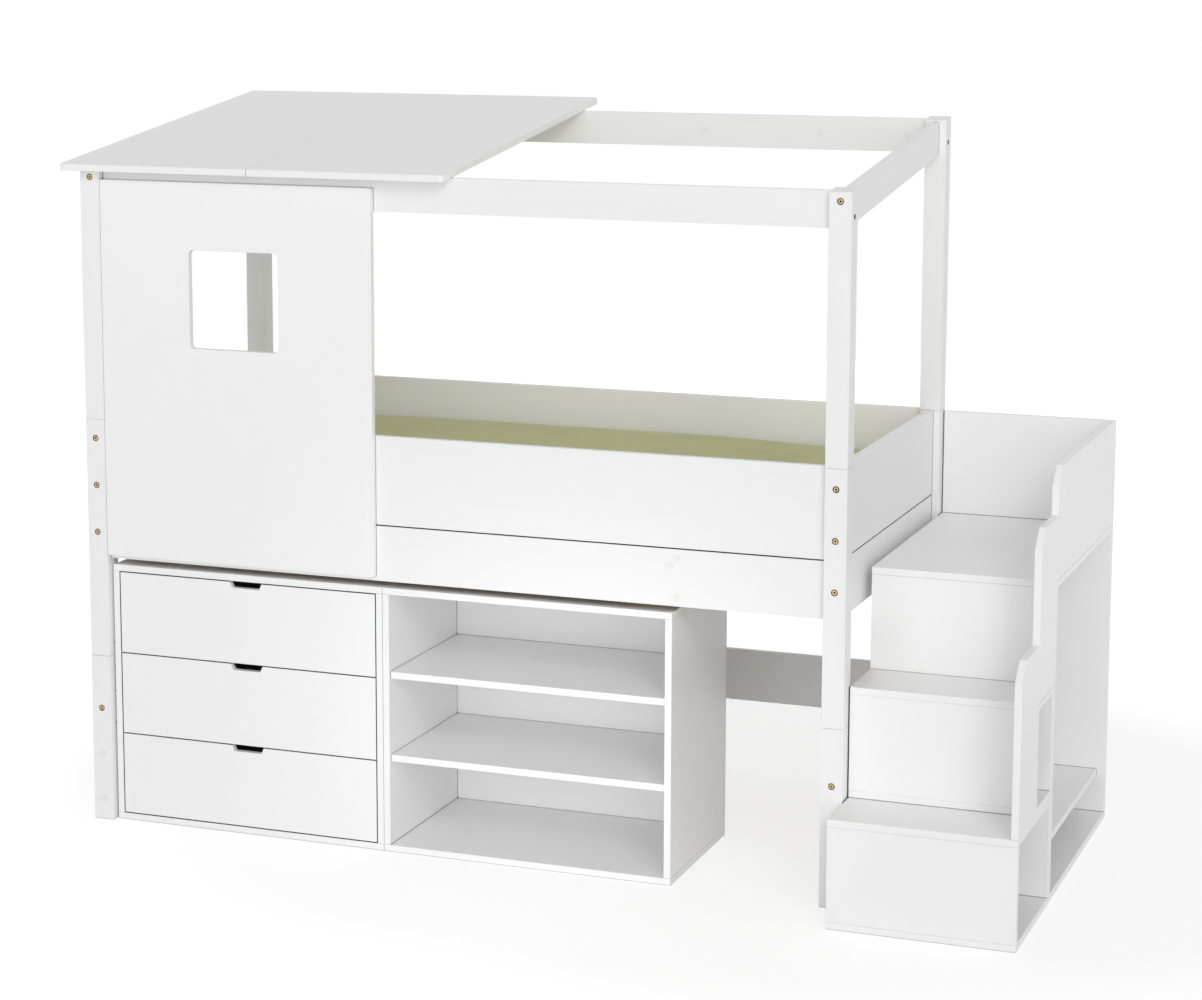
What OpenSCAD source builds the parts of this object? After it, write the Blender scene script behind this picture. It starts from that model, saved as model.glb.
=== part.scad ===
// Child's cabin bed: a raised bed on square posts with a lean-to roof and a house front,
// a chest of three drawers and a shelf unit under it, and a stair unit with open lockers.
// Lengths in millimetres. Built from the outer bottom corner of the front left post, then
// moved so that the origin is the middle of the floor rectangle that the whole thing covers.

/* [Mattress and slats] */
// Length of the mattress
mattress_l = 2000; // [1800:5:2100]
// Width of the mattress
mattress_w = 906; // [800:2:1100]
// Height of the mattress at its sides
mattress_h = 155; // [100:1:160]
// Extra height of the mattress in the middle
mattress_crown = 36; // [5:1:40]
// How far the sides of the mattress draw in at its seams
mattress_draw = 9; // [3:1:15]
// Gap between the mattress and the end boards
end_gap = 14.5; // [10:0.5:20]
// Gap between the mattress and the side boards
side_gap = 14; // [10:0.5:20]
// Height of the ledgers that carry the slats
ledger_h = 30; // [24:1:34]
// Thickness of the ledgers
ledger_t = 22; // [18:1:24]
// Number of slats
slat_n = 14; // [10:1:18]
// Width of one slat
slat_w = 68; // [50:1:80]
// Thickness of a slat
slat_t = 18; // [14:1:22]
// Depth of the slats' upper side below the upper edge of the rails
slat_drop = 33; // [25:1:36]

/* [Bed frame] */
// Side of the square posts
post = 57; // [54:1:70]
// Height of the lowest post section
foot_h = 458; // [450:1:540]
// Length of the upper section of a front post, on its front face
front_top_h = 672; // [600:1:800]
// Fall of the roof from back to front, in degrees
roof_slope = 7.1; // [4:0.1:12]
// Thickness of the rails, guards and stretchers
board_t = 19; // [18:1:22]
// Height of the bed rails and of the stretchers
rail_h = 146; // [136:1:156]
// Floor to the lower edge of the bed rails
rail_z = 727; // [700:1:780]
// Floor to the lower edge of the stretchers
stretcher_z = 239; // [220:1:250]
// Height of the guard boards above the bed rails
guard_h = 233; // [225:1:260]
// Shadow gap between a bed rail and the guard above it
guard_gap = 3; // [1:0.5:5]
// Guard's upper edge down to the joint between the post sections
joint_drop = 2; // [0:0.5:5]
// Height of the upper rails
upper_h = 91; // [84:1:110]
// Free gap between the end upper rails and the roof plane
end_rail_drop = 4; // [1:0.5:7]
// Radius of the corners of the end upper rails
end_rail_r = 8; // [3:1:12]

/* [House front] */
// Width of the house front
house_w = 785.5; // [700:0.5:900]
// Gap between the post and the house front
house_gap = 0.5; // [0.5:0.5:8]
// Lower edge of the house front above the lower edge of the bed rail
house_up = 11.5; // [5:0.5:16]
// Upper edge of the house front below the upper edge of the upper rail
house_down = 31; // [15:1:40]
// Thickness of the house front
house_t = 19; // [16:1:19]
// Corner radius of the house front
house_r = 3; // [2:1:30]
// Width of the window
window_w = 259; // [150:1:300]
// Height of the window
window_h = 260; // [150:1:300]
// House front's left edge to the window
window_x = 261.5; // [200:0.5:350]
// House front's lower edge to the window
window_z = 574; // [400:1:600]
// Corner radius of the window
window_r = 12; // [4:1:40]

/* [Roof] */
// Width of one roof board
roof_board_w = 549; // [500:1:600]
// Thickness of the roof boards
roof_t = 18; // [16:1:24]
// Reach of the roof beyond the left posts
roof_side = 38; // [0:1:60]
// Reach of the roof in front of the front posts
roof_front = 41; // [10:1:80]
// Reach of the roof behind the back posts
roof_back = 80; // [10:1:120]
// Corner radius of the roof
roof_r = 12; // [2:1:40]
// Width of the seam between the roof boards
roof_seam = 0.6; // [0.3:0.1:2]
// Height of the cleats under the roof
cleat_h = 60; // [54:1:70]
// Thickness of the cleats
cleat_t = 20; // [18:1:26]
// Left post to the start of the cleats
cleat_x = 30; // [10:1:40]
// Length of the cleats
cleat_l = 640; // [630:1:800]

/* [Chest and shelf unit] */
// Width of the chest, and of the shelf unit beside it
cab_w = 795; // [700:1:830]
// Depth of the chest and the shelf unit
cab_d = 458; // [400:1:520]
// Board thickness of the chest and the shelf unit
cab_t = 18; // [16:1:22]
// Free height between the units' tops and the bed rail
cab_head = 17; // [10:1:40]
// Gap between the post and the chest
cab_side_gap = 5.5; // [3:0.5:10]
// Depth of the units' fronts behind the posts' front faces
cab_inset = 20; // [5:1:40]
// Gap between the chest and the shelf unit
cab_gap = 0.5; // [0.3:0.1:3]
// Thickness of the back panels
back_t = 4; // [3:0.5:8]
// Depth of the open shelves behind the unit's front
shelf_inset = 8; // [0:1:30]

/* [Drawers] */
// Gap all round a drawer front
front_gap = 2.8; // [2:0.1:4]
// Width of a drawer's grip notch along its upper edge
grip_w = 94; // [70:1:140]
// Narrowing of the notch on each side
grip_taper = 7; // [2:0.5:10]
// Depth of the grip notch
grip_d = 16; // [12:1:22]
// Radius of the notch's lower corners
grip_r = 6; // [3:0.5:7]
// Front's lower edge to its tray
tray_up = 18; // [14:1:20]
// Height of a drawer tray
tray_h = 150; // [100:1:160]
// Free depth behind a tray
tray_back_gap = 21; // [10:1:40]
// Thickness of a tray's walls
tray_t = 12; // [11:1:15]
// Thickness of a tray's bottom
tray_floor = 5; // [4:0.5:8]
// Depth of the groove that the bottom sits in
groove_d = 5; // [3:0.5:6]
// Space between a tray and the chest's side, which holds the runner
runner_space = 13; // [12:0.5:16]
// Height of a runner channel
runner_h = 32; // [25:1:45]
// Sheet thickness of the runners
runner_t = 1.5; // [1:0.1:2.5]
// Running gap in the runners
runner_play = 0.5; // [0.3:0.1:1]
// Free depth of the tray behind its runner
runner_short = 15; // [5:1:40]

/* [Stair unit] */
// Gap between the bed's posts and the stair unit
stair_gap = 3; // [1:0.5:10]
// Width of the stair unit
stair_w = 466; // [420:1:600]
// Board thickness of the stair unit
stair_t = 18; // [16:1:22]
// Reach of the lowest step in front of the bed
stair_reach = 151; // [100:1:250]
// Going of one step
going = 194; // [170:1:230]
// Floor to the first tread
tread_1_z = 276; // [250:1:300]
// Floor to the second tread
tread_2_z = 557; // [530:1:600]
// Floor to the platform
platform_z = 819; // [780:1:860]
// Height of the side guard above a tread
guard_over_tread = 425; // [380:1:450]
// Height of the side guard and the back panel above the platform
guard_over_platform = 283; // [250:1:350]
// Size of the chamfers on the side guard
guard_chamfer = 46; // [20:1:60]
// Floor to the upper side of the locker shelf
locker_shelf_z = 138; // [100:1:400]
// Depth of the locker shelf behind the open side
locker_inset = 23; // [5:1:60]

/* [Fittings] */
// Pitch of the holes in the posts
hole_pitch = 128; // [96:32:128]
// Diameter of the wooden dowels in the bed
dowel_d = 8; // [6:1:10]
// Length of the wooden dowels in the bed
dowel_l = 38; // [30:1:38]
// Diameter of the dowels in the chest, the shelf unit and the stairs
panel_dowel_d = 8; // [6:1:10]
// Length of these dowels
panel_dowel_l = 30; // [24:1:34]
// Reach of these dowels into the board that they meet square to its face
flat_reach = 11; // [8:0.5:13]
// Diameter of the bolts
bolt_d = 6; // [5:1:6]
// Reach of a bolt into the board that it holds
bolt_reach = 45; // [42:1:55]
// Outer diameter of a sleeve nut
sleeve_d = 10; // [9:0.5:11]
// Length of a sleeve nut
sleeve_l = 32; // [25:1:40]
// Head diameter of a sleeve nut
sleeve_head_d = 17; // [13:0.5:18]
// Head thickness of a sleeve nut
sleeve_head_t = 2.4; // [1.5:0.1:4]
// Width across the flats of a hexagon socket
socket_af = 5; // [4:0.5:5]
// Head diameter of a side bolt
head_d = 14; // [12:0.5:16]
// Head height of a side bolt
head_t = 3; // [2.5:0.5:4]
// Diameter of a barrel nut
barrel_d = 10; // [9:0.5:10]
// Length of a barrel nut
barrel_l = 14; // [12:1:16]
// Diameter of a cover cap
cap_d = 19; // [14:1:22]
// Thickness of a cover cap
cap_t = 1; // [0.6:0.1:2]
// Diameter of a cover cap's stem
cap_stem_d = 8; // [5:0.5:10]
// Length of a cover cap's stem
cap_stem_l = 8; // [4:1:10]
// Diameter of a wood screw
screw_d = 4; // [3:0.5:5]
// Head diameter of a wood screw
screw_head_d = 8; // [6:0.5:8]
// Length of a wood screw
screw_l = 33; // [28:1:34]
// Difference between a hole's diameter and its dowel's, nut's or screw's
fit = 0.2; // [0.1:0.05:0.4]

/* [Hidden] */

white = "#f4f4f3";
off_white = "#e9e9e6";
pine = "#d9b98a";
beech = "#c9a06c";
brass = "#a5813f";
zinc = "#b9bcc0";
fabric_green = "#a9ab82";

round_fn = 24;                  // sides of a round rod or bore
corner_steps = 6;               // spans of a quarter turn in an outline
corner_fn = 48;                 // sides of a full circle at a rounded board corner
eps = 0.01;                     // overshoot of a cut past a face
seat = 0.3;                     // gap under a sloped or soft piece, and depth of a flush head
hole_extra = 1;                 // free length at the end of a blind hole

// --- levels and places of the bed frame ---
slope_t = tan(roof_slope);
recess = (post - board_t) / 2;                      // boards stand in the middle of the posts
inner_y = recess + board_t;                         // inner face of a front board
bed_l = mattress_l + 2 * (end_gap + inner_y);
bed_w = mattress_w + 2 * (side_gap + inner_y);
far_y = bed_w - inner_y;                            // inner face of a back board
clear_l = bed_l - 2 * post;                         // clear length between the posts
clear_w = bed_w - 2 * post;
guard_z = rail_z + rail_h + guard_gap;
rail_mid = rail_z + rail_h / 2;
guard_mid = guard_z + guard_h / 2;
stretcher_mid = stretcher_z + rail_h / 2;
upper_joint_z = guard_z + guard_h - joint_drop;
front_top_z = upper_joint_z + front_top_h;
function roof_z(y) = front_top_z + y * slope_t;     // roof plane, on which the post tops end
front_upper_z = roof_z(recess) - seat - upper_h;    // lower edge of the front upper rail
back_upper_z = roof_z(far_y) - seat - upper_h;      // lower edge of the back upper rail

// --- places of the bed's fittings ---
rod_half = 40;                                      // half the length of a post rod
rod_barrel = 32;                                    // joint to the barrel nuts of its rod
rod_to_bolt = 11;                                   // end of a post rod to the upper guard bolt
bolt_below_joint = rod_half + rod_to_bolt;          // joint of the posts to the upper guard bolt
guard_bolts = [upper_joint_z - bolt_below_joint - hole_pitch, upper_joint_z - bolt_below_joint];
top_bolt_drop = 26.5;                               // roof plane to the end rails' bolts
side_bolt_drop = 17.5;                              // middle of an upper rail to its bolt
top_dowel_rise = 20;                                // middle of an upper rail to its dowel
end_dowel_drop = 42;                                // bolt of an end upper rail to its dowel
dowel_spread = 45;                                  // middle of a rail to its dowels
guard_spread = 55;                                  // middle of a guard to its dowels
barrel_in = bolt_reach - 10;                        // board's end to its barrel nut
bolt_bore = bolt_d + 3 * fit;                       // clearance hole of a bolt
thread_bore = bolt_d + fit / 2;                     // bore of a nut on its bolt
head_recess = head_t + seat;                        // depth of a side bolt's head hole in the post
post_mid = post / 2;
front_bolt_z = roof_z(post_mid) - top_bolt_drop;
back_bolt_z = roof_z(bed_w - post_mid) - top_bolt_drop;
front_side_bolt_z = front_upper_z + upper_h / 2 - side_bolt_drop;
back_side_bolt_z = back_upper_z + upper_h / 2 - side_bolt_drop;
function pair(mid, spread) = [mid - spread, mid + spread];

// --- slats and mattress ---
slat_top = rail_z + rail_h - slat_drop;
ledger_z = slat_top - slat_t - ledger_h;
slat_end_gap = 2;                                   // slat's end to the inner face of a board
slat_first = 20;                                    // post to the first slat
slat_run = clear_l - 2 * slat_first - slat_w;
ledger_screw_n = 7;
ledger_screw_in = 60;                               // ledger's end to its first screw

// --- house front and roof ---
house_x = post + house_gap;
house_z = rail_z + house_up;
house_h = front_upper_z + upper_h - house_down - house_z;
roof_len = (bed_w + roof_front + roof_back) / cos(roof_slope);
roof_w = 2 * roof_board_w + roof_seam;
cleat_start = post + cleat_x;
cleat_screws = [24, 270, 602];                      // cleat's start to its screws
cleat_hole_drop = upper_h / 2;                      // upper rail's lower edge to the cleat screws
roof_screw_x = [-330, -110, 50, 130];               // seam to the roof screws, left and right of it
roof_screw_wood = 20;                               // roof board to a roof screw's head in the cleat
roof_screw_deep = cleat_h - roof_screw_wood;        // depth of a roof screw's head in the cleat
panel_screw_x = 383.5;                              // house front's left edge to its lower screws
panel_screw_step = 20;                              // sidestep of the middle one of them
panel_rows = [[0, 22], [panel_screw_step, 101], [0, 121]];
panel_top_screws = [63.5, 394.5, 725.5];            // house front's left edge to its upper screws
panel_top_up = 28;                                  // upper rail's lower edge to these screws

// --- chest and shelf unit ---
cab_h = rail_z - cab_head;
chest_x = post + cab_side_gap;
unit_x = chest_x + cab_w + cab_gap;
cab_y = cab_inset;
board_d = cab_d - back_t;                           // depth of the boards in front of the back
cab_in_w = cab_w - 2 * cab_t;
cab_in_h = cab_h - 2 * cab_t;
dowel_in = 60;                                      // unit's front and back to its dowels
foot_free = 1;                                      // floor to a back panel
front_h = (cab_in_h - 4 * front_gap) / 3;
front_w = cab_in_w - 2 * front_gap;
function front_z(i) = cab_t + front_gap + (3 - i) * (front_h + front_gap);    // 1 is the top one
function shelf_z(i) = front_z(i) + front_h + front_gap / 2;                   // shelf over front i
tray_x = chest_x + cab_t + runner_space;
tray_w = cab_in_w - 2 * runner_space;
tray_y = cab_y + cab_t;
tray_d = board_d - cab_t - tray_back_gap;
tray_floor_up = 8;                                  // tray's lower edge to its bottom
runner_l = tray_d - runner_short;
tray_dowel_l = flat_reach;                          // reach of a tray's spigots into the front

// --- stairs ---
stair_x = bed_l + stair_gap;
stair_end = stair_x + stair_w;
stair_y = -stair_reach;
riser_2_y = stair_y + going;
riser_3_y = stair_y + 2 * going;
stair_in = stair_x + stair_t;                       // inner face of the closed side
guard_x = stair_end - stair_t;                      // inner face of the side guard
slab_top = tread_1_z + stair_t;                     // upper side of the floor board on tread 1
stair_dowel_in = 70;                                // board's end to its dowels
guard_dowel_in = 50;                                // end of a guard lobe to its dowels

// --- whole object ---
low_x = min(0, -roof_side);
high_x = max(stair_end, roof_w - roof_side);
low_y = min(stair_y, -roof_front - roof_t * sin(roof_slope));
high_y = max(bed_w, bed_w + roof_back);
mid_x = (low_x + high_x) / 2;
mid_y = (low_y + high_y) / 2;

// Moves a piece from the bed's corner to the common origin
module placed() translate([-mid_x, -mid_y, 0]) children();

// A piece and its mirror image at the bed's other end
module both_ends() {
    children();
    translate([bed_l, 0, 0]) mirror([1, 0, 0]) children();
}

// A piece and its mirror image at the bed's other long side
module at_back() translate([0, bed_w, 0]) mirror([0, 1, 0]) children();
module both_sides() {
    children();
    at_back() children();
}

module block(at, size) translate(at) cube(size);

// Round rods that start at a point and run along X, Y or Z
module rod_x(at, d, l) translate(at) rotate([0, 90, 0]) cylinder(d = d, h = l, $fn = round_fn);
module rod_y(at, d, l) translate(at) rotate([-90, 0, 0]) cylinder(d = d, h = l, $fn = round_fn);
module rod_z(at, d, l) translate(at) cylinder(d = d, h = l, $fn = round_fn);

// Rods centred on a joint plane, for dowels and their holes
module joint_x(at, d, l) rod_x([at[0] - l / 2, at[1], at[2]], d, l);
module joint_y(at, d, l) rod_y([at[0], at[1] - l / 2, at[2]], d, l);
module joint_z(at, d, l) rod_z([at[0], at[1], at[2] - l / 2], d, l);

// A quarter turn of radius r about the corner centre (x, y), starting at the angle a
function turn(x, y, r, a) = [for (i = [0 : corner_steps]) let (b = a + 90 * i / corner_steps)
    [x + r * cos(b), y + r * sin(b)]];

// Rectangle with rounded corners
module rounded_rect(w, h, r) polygon(concat(turn(w - r, r, r, -90), turn(w - r, h - r, r, 0),
    turn(r, h - r, r, 90), turn(r, r, r, 180)));

// Profile drawn in Y and Z, run along X
module along_x(x, l) translate([x, 0, 0]) rotate([90, 0, 90]) linear_extrude(l) children();

// Outline drawn in X and Z, run along Y
module along_y(y, l) translate([0, y + l, 0]) rotate([90, 0, 0]) linear_extrude(l) children();

// --- wood screws, and with some play their holes; head at the origin, running along +Z ---
module screw(play) {
    cylinder(d1 = screw_head_d + play, d2 = screw_d + play, h = screw_head_d / 2, $fn = round_fn);
    cylinder(d = screw_d + play, h = screw_l + (play > 0 ? hole_extra : 0), $fn = round_fn);
}

module forwards() rotate([90, 0, 0]) children();
module backwards() rotate([-90, 0, 0]) children();

// Through the ledgers into the bed rails
module ledger_screws(play) both_sides() for (i = [0 : ledger_screw_n - 1])
    translate([post + ledger_screw_in + i * (clear_l - 2 * ledger_screw_in) / (ledger_screw_n - 1),
        inner_y + ledger_t, ledger_z + ledger_h / 2]) forwards() screw(play);

// Through the cleats into the upper rails
module cleat_rail_screws(play) for (x = cleat_screws) {
    translate([cleat_start + x, inner_y + cleat_t, front_upper_z + cleat_hole_drop]) forwards() screw(play);
    translate([cleat_start + x, far_y - cleat_t, back_upper_z + cleat_hole_drop]) backwards() screw(play);
}

// From below through the cleats into the roof boards, square to them
module roof_screws(play) for (y = [inner_y + cleat_t / 2, far_y - cleat_t / 2], dx = roof_screw_x)
    translate([roof_board_w - roof_side + dx, y, roof_z(y)]) rotate([roof_slope, 0, 0])
        translate([0, 0, roof_screw_deep - cleat_h]) {
            screw(play);
            if (play > 0) rod_z([0, 0, -cleat_h], screw_head_d + 1, cleat_h + eps);
        }

// From inside through the bed rail and the upper rail into the house front
module panel_screws(play) {
    for (r = panel_rows) translate([house_x + panel_screw_x + r[0], inner_y, rail_z + r[1]])
        forwards() screw(play);
    for (x = panel_top_screws) translate([house_x + x, inner_y, front_upper_z + panel_top_up])
        forwards() screw(play);
}

module wood_screws() color(zinc) placed() {
    ledger_screws(0);
    cleat_rail_screws(0);
    roof_screws(0);
    panel_screws(0);
}

// --- posts: each is drawn at the front left corner ---
// Bore of a sleeve nut and its bolt, from the post's front face right through
module sleeve_bore(z) {
    rod_y([post_mid, -eps, z], sleeve_d + fit, post + 2 * eps);
    rod_y([post_mid, -eps, z], sleeve_head_d + 2 * fit, sleeve_head_t + eps);
}

// Blind hole for a cover cap's stem
module cap_bore(z) rod_y([post_mid, -eps, z], cap_stem_d + fit, cap_stem_l + hole_extra);

// Bores at one end of a post section: the rod along the post and its barrel nut across it
module rod_bores(z, way) {
    rod_z([post_mid, post_mid, way > 0 ? z - eps : z - rod_half - hole_extra],
        bolt_bore, rod_half + hole_extra + eps);
    rod_x([post_mid - barrel_l / 2, post_mid, z + way * rod_barrel], barrel_d + fit, post);
}

// Dowel holes in a post for a board along the bed, and for a board across it
module long_dowel_hole(z) joint_x([post, post_mid, z], dowel_d + fit, dowel_l + hole_extra);
module end_dowel_hole(z) joint_y([post_mid, post, z], dowel_d + fit, dowel_l + hole_extra);

module post_foot() difference() {
    cube([post, post, foot_h]);
    sleeve_bore(stretcher_mid);
    for (k = [1, 2]) cap_bore(stretcher_mid - k * hole_pitch);
    rod_bores(foot_h, -1);
    for (z = pair(stretcher_mid, dowel_spread)) {
        long_dowel_hole(z);
        end_dowel_hole(z);
    }
}

module post_middle() difference() {
    block([0, 0, foot_h], [post, post, upper_joint_z - foot_h]);
    sleeve_bore(rail_mid);
    for (z = guard_bolts) sleeve_bore(z);
    rod_bores(foot_h, 1);
    rod_bores(upper_joint_z, -1);
    for (z = pair(rail_mid, dowel_spread)) {
        long_dowel_hole(z);
        end_dowel_hole(z);
    }
    for (z = pair(guard_mid, guard_spread)) long_dowel_hole(z);
}

// Bores of an upper section, drawn at the front left corner
module post_top_bores(bolt_z, side_bolt_z) {
    sleeve_bore(bolt_z);
    end_dowel_hole(bolt_z - end_dowel_drop);
    rod_bores(upper_joint_z, 1);
    long_dowel_hole(side_bolt_z + side_bolt_drop + top_dowel_rise);
    rod_x([-eps, post_mid, side_bolt_z], bolt_bore, post + 2 * eps);
    rod_x([-eps, post_mid, side_bolt_z], head_d + 2 * fit, head_recess + eps);
}

// Upper section with its top cut on the roof plane; y is its front face
module post_top(y) along_x(0, post) polygon([[y, upper_joint_z], [y + post, upper_joint_z],
    [y + post, roof_z(y + post)], [y, roof_z(y)]]);

module post_feet() color(white) placed() both_ends() both_sides() post_foot();
module post_middles() color(white) placed() both_ends() both_sides() post_middle();

module front_post_tops() color(white) placed() both_ends() difference() {
    post_top(0);
    post_top_bores(front_bolt_z, front_side_bolt_z);
}

module back_post_tops() color(white) placed() both_ends() difference() {
    post_top(bed_w - post);
    at_back() post_top_bores(back_bolt_z, back_side_bolt_z);
}

// --- boards along the bed; y is the front face, with dowel holes at both ends ---
module long_board(y, z, h, dowels) difference() {
    block([post, y, z], [clear_l, board_t, h]);
    both_ends() for (dz = dowels)
        joint_x([post, y + board_t / 2, dz], dowel_d + fit, dowel_l + hole_extra);
}

// Bores of the bolts along a front board, with the cross holes of their barrel nuts
module long_bolt_bores(z) both_ends() {
    rod_x([post - eps, post_mid, z], bolt_bore, bolt_reach + hole_extra);
    rod_y([post + barrel_in, post_mid - barrel_l / 2, z], barrel_d + fit, board_t);
}

// Holes of the other hand of the house and the roof, closed with cover caps
module spare_panel_places() for (r = panel_rows)
    translate([bed_l - house_x - panel_screw_x - r[0], recess, rail_z + r[1]]) children();
module spare_cleat_places() for (x = cleat_screws)
    translate([bed_l - cleat_start - x, far_y, back_upper_z + cleat_hole_drop]) children();
module stem_hole() rod_y([0, -eps, 0], cap_stem_d + fit, cap_stem_l + hole_extra);

module front_upper_rail() color(white) placed() difference() {
    long_board(recess, front_upper_z, upper_h, [front_upper_z + upper_h / 2 + top_dowel_rise]);
    long_bolt_bores(front_side_bolt_z);
    cleat_rail_screws(fit);
    panel_screws(fit);
}

module back_upper_rail() color(white) placed() difference() {
    long_board(far_y, back_upper_z, upper_h, [back_upper_z + upper_h / 2 + top_dowel_rise]);
    at_back() long_bolt_bores(back_side_bolt_z);
    cleat_rail_screws(fit);
    spare_cleat_places() stem_hole();
}

module guard_board(y) long_board(y, guard_z, guard_h, pair(guard_mid, guard_spread));
module front_guard() color(white) placed() guard_board(recess);
module back_guard() color(white) placed() guard_board(far_y);

module front_bed_rail() color(white) placed() difference() {
    long_board(recess, rail_z, rail_h, pair(rail_mid, dowel_spread));
    ledger_screws(fit);
    panel_screws(fit);
    spare_panel_places() stem_hole();
}

module back_bed_rail() color(white) placed() difference() {
    long_board(far_y, rail_z, rail_h, pair(rail_mid, dowel_spread));
    ledger_screws(fit);
}

// --- boards across the bed ends, held by bolts through the posts ---
module end_bolt_bore(z) {
    rod_y([post_mid, post - eps, z], bolt_bore, bolt_reach + hole_extra);
    rod_x([post_mid - barrel_l / 2, post + barrel_in, z], barrel_d + fit, board_t);
}

module end_board(z, h, bolts, dowels) difference() {
    block([recess, post, z], [board_t, clear_w, h]);
    both_sides() {
        for (bz = bolts) end_bolt_bore(bz);
        for (dz = dowels) end_dowel_hole(dz);
    }
}

module end_guards() color(white) placed() both_ends() end_board(guard_z, guard_h, guard_bolts, []);

module end_bed_rails() color(white) placed() both_ends()
    end_board(rail_z, rail_h, [rail_mid], pair(rail_mid, dowel_spread));

module stretchers() color(white) placed() {
    long_board(far_y, stretcher_z, rail_h, pair(stretcher_mid, dowel_spread));
    both_ends() end_board(stretcher_z, rail_h, [stretcher_mid], pair(stretcher_mid, dowel_spread));
}

// Sloping rail under the roof plane, with rounded corners
module end_upper_rail() {
    high = end_rail_drop;
    low = high + upper_h / cos(roof_slope);
    a = post;
    b = bed_w - post;
    r = end_rail_r;
    difference() {
        along_x(recess, board_t) {
            polygon([[a + r, roof_z(a + r) - low], [b - r, roof_z(b - r) - low],
                [b - r, roof_z(b - r) - high], [a + r, roof_z(a + r) - high]]);
            polygon([[a, roof_z(a + r) - low + r], [a + r, roof_z(a + r) - low + r],
                [b - r, roof_z(b - r) - low + r], [b, roof_z(b - r) - low + r],
                [b, roof_z(b - r) - high - r], [b - r, roof_z(b - r) - high - r],
                [a + r, roof_z(a + r) - high - r], [a, roof_z(a + r) - high - r]]);
            for (y = [a + r, b - r], z = [roof_z(y) - low + r, roof_z(y) - high - r])
                translate([y, z]) circle(r, $fn = corner_fn);
        }
        end_bolt_bore(front_bolt_z);
        end_dowel_hole(front_bolt_z - end_dowel_drop);
        at_back() {
            end_bolt_bore(back_bolt_z);
            end_dowel_hole(back_bolt_z - end_dowel_drop);
        }
    }
}

module end_upper_rails() color(white) placed() both_ends() end_upper_rail();

// --- slats on their ledgers ---
module slat_ledgers() color(pine) placed() difference() {
    both_sides() block([post, inner_y, ledger_z], [clear_l, ledger_t, ledger_h]);
    ledger_screws(fit);
}

module slats() color(pine) placed() for (i = [0 : slat_n - 1])
    block([post + slat_first + i * slat_run / (slat_n - 1), inner_y + slat_end_gap, slat_top - slat_t],
        [slat_w, far_y - inner_y - 2 * slat_end_gap, slat_t]);

// --- mattress: rings of one outline, drawn in from the widest ring, with a crowned top ---
side_steps = 10;                                    // spans of a long side of a ring
end_steps = 4;                                      // spans of a short side
corner_r = 45;                                      // plan radius of the mattress corners
least_r = 12;                                       // least corner radius of an inner ring
crown_power = [3, 4];                               // how flat the crown stays, along and across

// Each ring: how far it is drawn in, and its height as a share of the side height
rings = [[4.5 * mattress_draw, 0], [1.5 * mattress_draw, 0.04], [mattress_draw, 0.12],
    [mattress_draw / 5, 0.32], [0, 0.5], [mattress_draw / 5, 0.7], [mattress_draw, 0.9],
    [1.8 * mattress_draw, 0.965], [3.8 * mattress_draw, 0.995], [80, 1], [170, 1], [290, 1], [380, 1]];

// Points between two corners, without their ends
function between(p, q, steps) = [for (i = [1 : steps - 1]) p + (q - p) * i / steps];

// Rounded rectangle with half sizes hx and hy, counter-clockwise
function outline(hx, hy, r) = let (x = hx - r, y = hy - r) concat(
    between([-x, -hy], [x, -hy], side_steps), turn(x, -y, r, -90),
    between([hx, -y], [hx, y], end_steps), turn(x, y, r, 0),
    between([x, hy], [-x, hy], side_steps), turn(-x, y, r, 90),
    between([-hx, y], [-hx, -y], end_steps), turn(-x, -y, r, 180));

// Rise of the mattress above its side height, most in the middle
function crown(p) = mattress_crown
    * (1 - pow(abs(2 * p[0] / mattress_l), crown_power[0]))
    * (1 - pow(abs(2 * p[1] / mattress_w), crown_power[1]));

function ring_points(k) = let (pull = rings[k][0], share = rings[k][1])
    [for (p = outline(mattress_l / 2 - pull, mattress_w / 2 - pull, max(corner_r - pull / 2, least_r)))
        [p[0], p[1], mattress_h * share + (share > 0.5 ? crown(p) : 0)]];

module mattress() color(fabric_green) placed() translate([bed_l / 2, bed_w / 2, slat_top + seat]) {
    n = len(ring_points(0));
    last = len(rings) - 1;
    low = n * (last + 1);
    points = concat([for (k = [0 : last]) each ring_points(k)],
        [[0, 0, 0], [0, 0, mattress_h + crown([0, 0])]]);
    polyhedron(points, concat(
        [for (k = [0 : last - 1], i = [0 : n - 1]) [k * n + i, (k + 1) * n + i, k * n + (i + 1) % n]],
        [for (k = [0 : last - 1], i = [0 : n - 1])
            [(k + 1) * n + i, (k + 1) * n + (i + 1) % n, k * n + (i + 1) % n]],
        [for (i = [0 : n - 1]) [low, i, (i + 1) % n]],
        [for (i = [0 : n - 1]) [low + 1, last * n + (i + 1) % n, last * n + i]]));
}

// --- house front with its window ---
module house_front() color(white) placed() difference() {
    along_y(recess - house_t, house_t) translate([house_x, house_z]) difference() {
        rounded_rect(house_w, house_h, house_r);
        translate([window_x, window_z]) rounded_rect(window_w, window_h, window_r);
    }
    panel_screws(fit);
}

// --- roof: two boards on the roof plane, joined by cleats along the upper rails ---
module on_roof() translate([-roof_side, -roof_front, roof_z(-roof_front) + seat])
    rotate([roof_slope, 0, 0]) children();

module roof_board_left() color(white) placed() difference() {
    on_roof() linear_extrude(roof_t) {
        rounded_rect(roof_board_w - roof_r, roof_len, roof_r);
        translate([roof_board_w / 2, 0]) square([roof_board_w / 2, roof_len]);
    }
    roof_screws(fit);
}

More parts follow.
